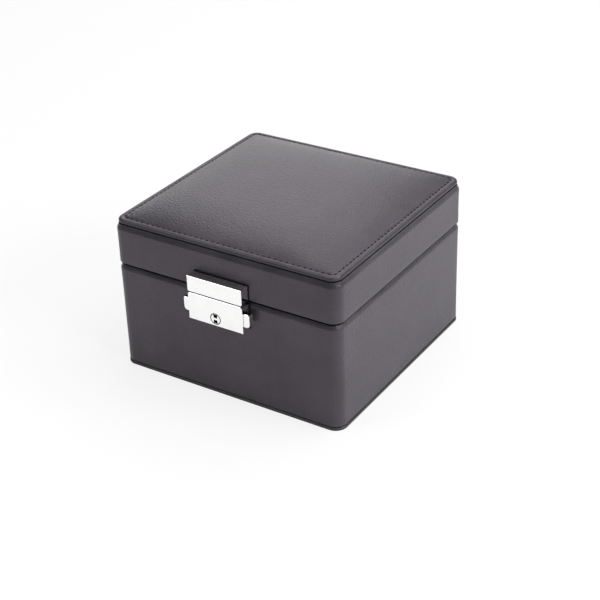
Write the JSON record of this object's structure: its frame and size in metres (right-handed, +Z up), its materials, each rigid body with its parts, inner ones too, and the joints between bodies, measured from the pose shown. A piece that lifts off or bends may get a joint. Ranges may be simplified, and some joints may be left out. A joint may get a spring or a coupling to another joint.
{
  "type": "watch box",
  "caption": "Leather covered watch box with a padded stitched lid on stop hinges, a side-button lock and loose watch pillows in lined wells.",
  "frame": {"origin": "middle of the underside of the bottom cover, halfway across the leather body's width and depth", "axes": "+Z up, the front with the lock looks along -Y, +X to the right of someone facing the front"},
  "size_m": [0.14, 0.1444, 0.093],
  "materials": {
    "leather": "smooth, low sheen",
    "board": "raw fibreboard",
    "foam": "matt foam, given as fabric",
    "suede": "brushed suede cloth",
    "chrome": "polished",
    "steel": "plain"
  },
  "bodies": {
    "base": {"base_leather": "leather", "base_front_board": "board", "base_back_board": "board", "base_left_board": "board", "base_right_board": "board", "base_floor_board": "board", "bottom_cover": "leather", "base_lining_cards": "suede", "base_floor_pad": "suede", "front_bolster": "suede", "back_bolster": "suede", "well_divider": "suede", "hinge_base_leaves": "steel", "hinge_pins": "steel", "lock_case": "chrome", "lock_back_plate": "steel", "lock_screws": "steel"},
    "lid": {"lid_leather": "leather", "lid_front_board": "board", "lid_back_board": "board", "lid_left_board": "board", "lid_right_board": "board", "lid_top_board": "board", "lid_lining_cards": "suede", "lid_lining_pad": "suede", "top_pad_leather": "leather", "top_pad_board": "board", "top_pad_foam": "foam", "hinge_lid_leaves": "steel", "hasp_case": "chrome", "hasp_back_plate": "steel", "hasp_hooks": "steel", "hasp_screws": "steel"},
    "left_button": {"left_push_slide": "chrome", "left_button_spring": "steel"},
    "right_button": {"right_push_slide": "chrome", "right_button_spring": "steel"},
    "key_barrel": {"key_plug": "chrome", "key_cam": "steel"},
    "left_pillow": {"left_watch_pillow": "suede"},
    "right_pillow": {"right_watch_pillow": "suede"}
  },
  "joints": [
    {"name": "lid_hinge", "type": "hinge", "parent": "base", "child": "lid", "pos_m": [0, 0.0685, 0.06295], "axis": [-1, 0, 0], "range_deg": [0, 95]},
    {"name": "left_button_slide", "type": "slide", "parent": "base", "child": "left_button", "axis": [1, 0, 0], "range_m": [0, 0.0025], "stiffness_N_per_m": 300, "springref_m": -0.004, "deforming": ["left_button_spring"]},
    {"name": "right_button_slide", "type": "slide", "parent": "base", "child": "right_button", "axis": [-1, 0, 0], "range_m": [0, 0.0025], "stiffness_N_per_m": 300, "springref_m": -0.004, "deforming": ["right_button_spring"]},
    {"name": "key_turn", "type": "hinge", "parent": "base", "child": "key_barrel", "pos_m": [0, -0.0742, 0.0512], "axis": [0, -1, 0], "range_deg": [-90, 0]},
    {"name": "left_pillow_lift", "type": "slide", "parent": "base", "child": "left_pillow", "axis": [0, 0, 1], "range_m": [0, 0.02]},
    {"name": "right_pillow_lift", "type": "slide", "parent": "base", "child": "right_pillow", "axis": [0, 0, 1], "range_m": [0, 0.02]}
  ]
}
